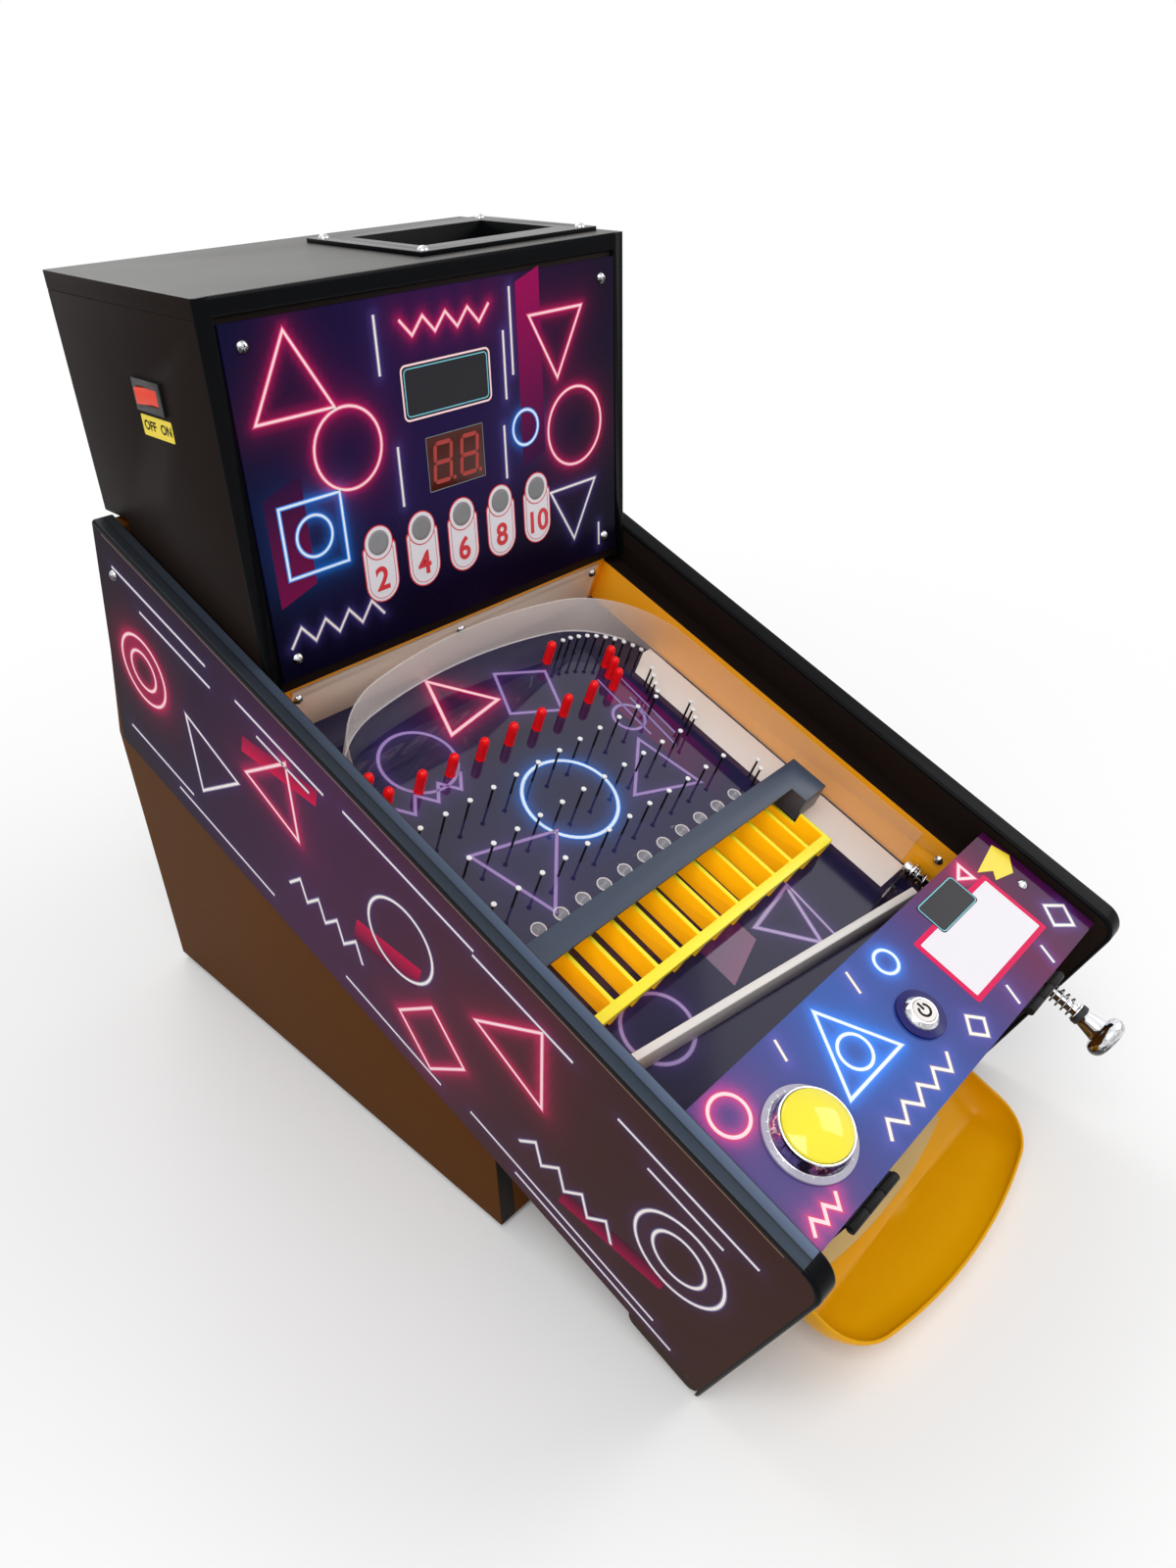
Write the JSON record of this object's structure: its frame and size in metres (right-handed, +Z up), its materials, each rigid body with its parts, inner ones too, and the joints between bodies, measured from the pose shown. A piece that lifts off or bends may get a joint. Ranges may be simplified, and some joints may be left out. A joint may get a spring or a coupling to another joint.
{
  "type": "tabletop marble arcade game",
  "caption": "Tabletop marble arcade game: sloped pin playfield with catch slots, head box with display, spring plunger, hinged control panel and front ball tray.",
  "frame": {"origin": "on the floor plane, under the middle of the overall box", "axes": "+X to the player's right, +Y to the rear of the game, +Z up"},
  "size_m": [0.4056, 0.7496, 0.6291],
  "materials": {
    "dark_board": "matte dark brown laminate",
    "black_board": "fine textured black laminate",
    "bare_board": "bare wood fibre board",
    "side_print": "printed satin sheet",
    "panel_print": "printed gloss sheet",
    "field_print": "printed mirror-like gloss sheet",
    "moulding": "gloss black edge moulding",
    "orange_liner": "gloss orange",
    "clear_sheet": "clear bent acrylic",
    "pale_cover": "pale gloss sheet",
    "nail_steel": "dark steel",
    "red_plastic": "gloss red",
    "slate_plastic": "satin slate",
    "yellow_plastic": "gloss yellow",
    "white_plastic": "gloss white",
    "lens_plastic": "frosted lens",
    "chrome": "polished",
    "blue_plastic": "gloss blue with a chrome bezel",
    "black_metal": "black",
    "spring_steel": "bright",
    "black_rubber": "matte",
    "tray_plastic": "gloss golden yellow",
    "black_plastic": "satin black",
    "display_plastic": "dark red filter",
    "grey_plastic": "moulded grey",
    "motor_steel": "zinc plated",
    "board_green": "solder mask"
  },
  "bodies": {
    "cabinet": {"side_left": "dark_board", "side_right": "dark_board", "plate_left": "side_print", "plate_right": "side_print", "trim_left": "moulding", "trim_right": "moulding", "head_left": "black_board", "head_right": "black_board", "head_top": "black_board", "head_back": "black_board", "head_board": "black_board", "head_panel": "panel_print", "head_trim": "moulding", "base_front": "dark_board", "base_back": "dark_board", "base_floor": "dark_board", "back_panel": "dark_board", "belly_panel": "dark_board", "front_board": "dark_board", "playfield_board": "bare_board", "playfield_sheet": "field_print", "liner_left": "orange_liner", "liner_right": "orange_liner", "liner_rear": "orange_liner", "rear_cover": "pale_cover", "arch_strip": "clear_sheet", "nails": "nail_steel", "pin_caps": "red_plastic", "slot_bridge": "slate_plastic", "slot_divider": "yellow_plastic", "slot_lenses": "lens_plastic", "return_rail": "white_plastic", "hinge_fixed": "black_metal", "plunger_bushing": "chrome", "outer_spring": "spring_steel", "inner_spring": "spring_steel", "ball_tray": "tray_plastic", "ball_ramp": "bare_board", "insert_tray": "black_plastic", "rocker_bezel": "black_plastic", "display": "display_plastic", "lamp_lenses": "lens_plastic", "ball_hopper": "grey_plastic", "dispenser_motor": "motor_steel", "circuit_board": "board_green", "power_inlet": "black_plastic", "screws": "chrome", "feet": "black_rubber"},
    "plunger": {"plunger_rod": "chrome", "plunger_ring": "black_rubber"},
    "panel": {"control_panel": "panel_print", "panel_screw": "chrome", "hinge_moving": "black_metal", "dome_body": "chrome", "power_body": "blue_plastic"},
    "dome": {"dome_cap": "yellow_plastic"},
    "power": {"power_cap": "white_plastic"},
    "rocker": {"rocker_paddle": "red_plastic"},
    "wheel": {"dispenser_wheel": "white_plastic"}
  },
  "joints": [
    {"name": "plunger_pull", "type": "slide", "parent": "cabinet", "child": "plunger", "axis": [0, -0.9282, -0.372], "range_m": [0, 0.03], "stiffness_N_per_m": 250, "springref_m": -0.02, "deforming": ["inner_spring"]},
    {"name": "control_panel_open", "type": "hinge", "parent": "cabinet", "child": "panel", "pos_m": [0, -0.3329, 0.19435], "axis": [1, 0, 0], "range_deg": [0, 95]},
    {"name": "dome_press", "type": "slide", "parent": "panel", "child": "dome", "axis": [0, 0.372, -0.9282], "range_m": [0, 0.004], "stiffness_N_per_m": 300, "springref_m": -0.008},
    {"name": "power_press", "type": "slide", "parent": "panel", "child": "power", "axis": [0, 0.372, -0.9282], "range_m": [0, 0.0025], "stiffness_N_per_m": 300, "springref_m": -0.006},
    {"name": "rocker_tilt", "type": "hinge", "parent": "cabinet", "child": "rocker", "pos_m": [-0.18, 0.20478, 0.559], "axis": [0, 0, 1], "range_deg": [-18, 0]},
    {"name": "dispenser_turn", "type": "hinge", "parent": "cabinet", "child": "wheel", "pos_m": [0.06, 0.22278, 0.416], "axis": [0, 0, 1], "continuous": true}
  ]
}
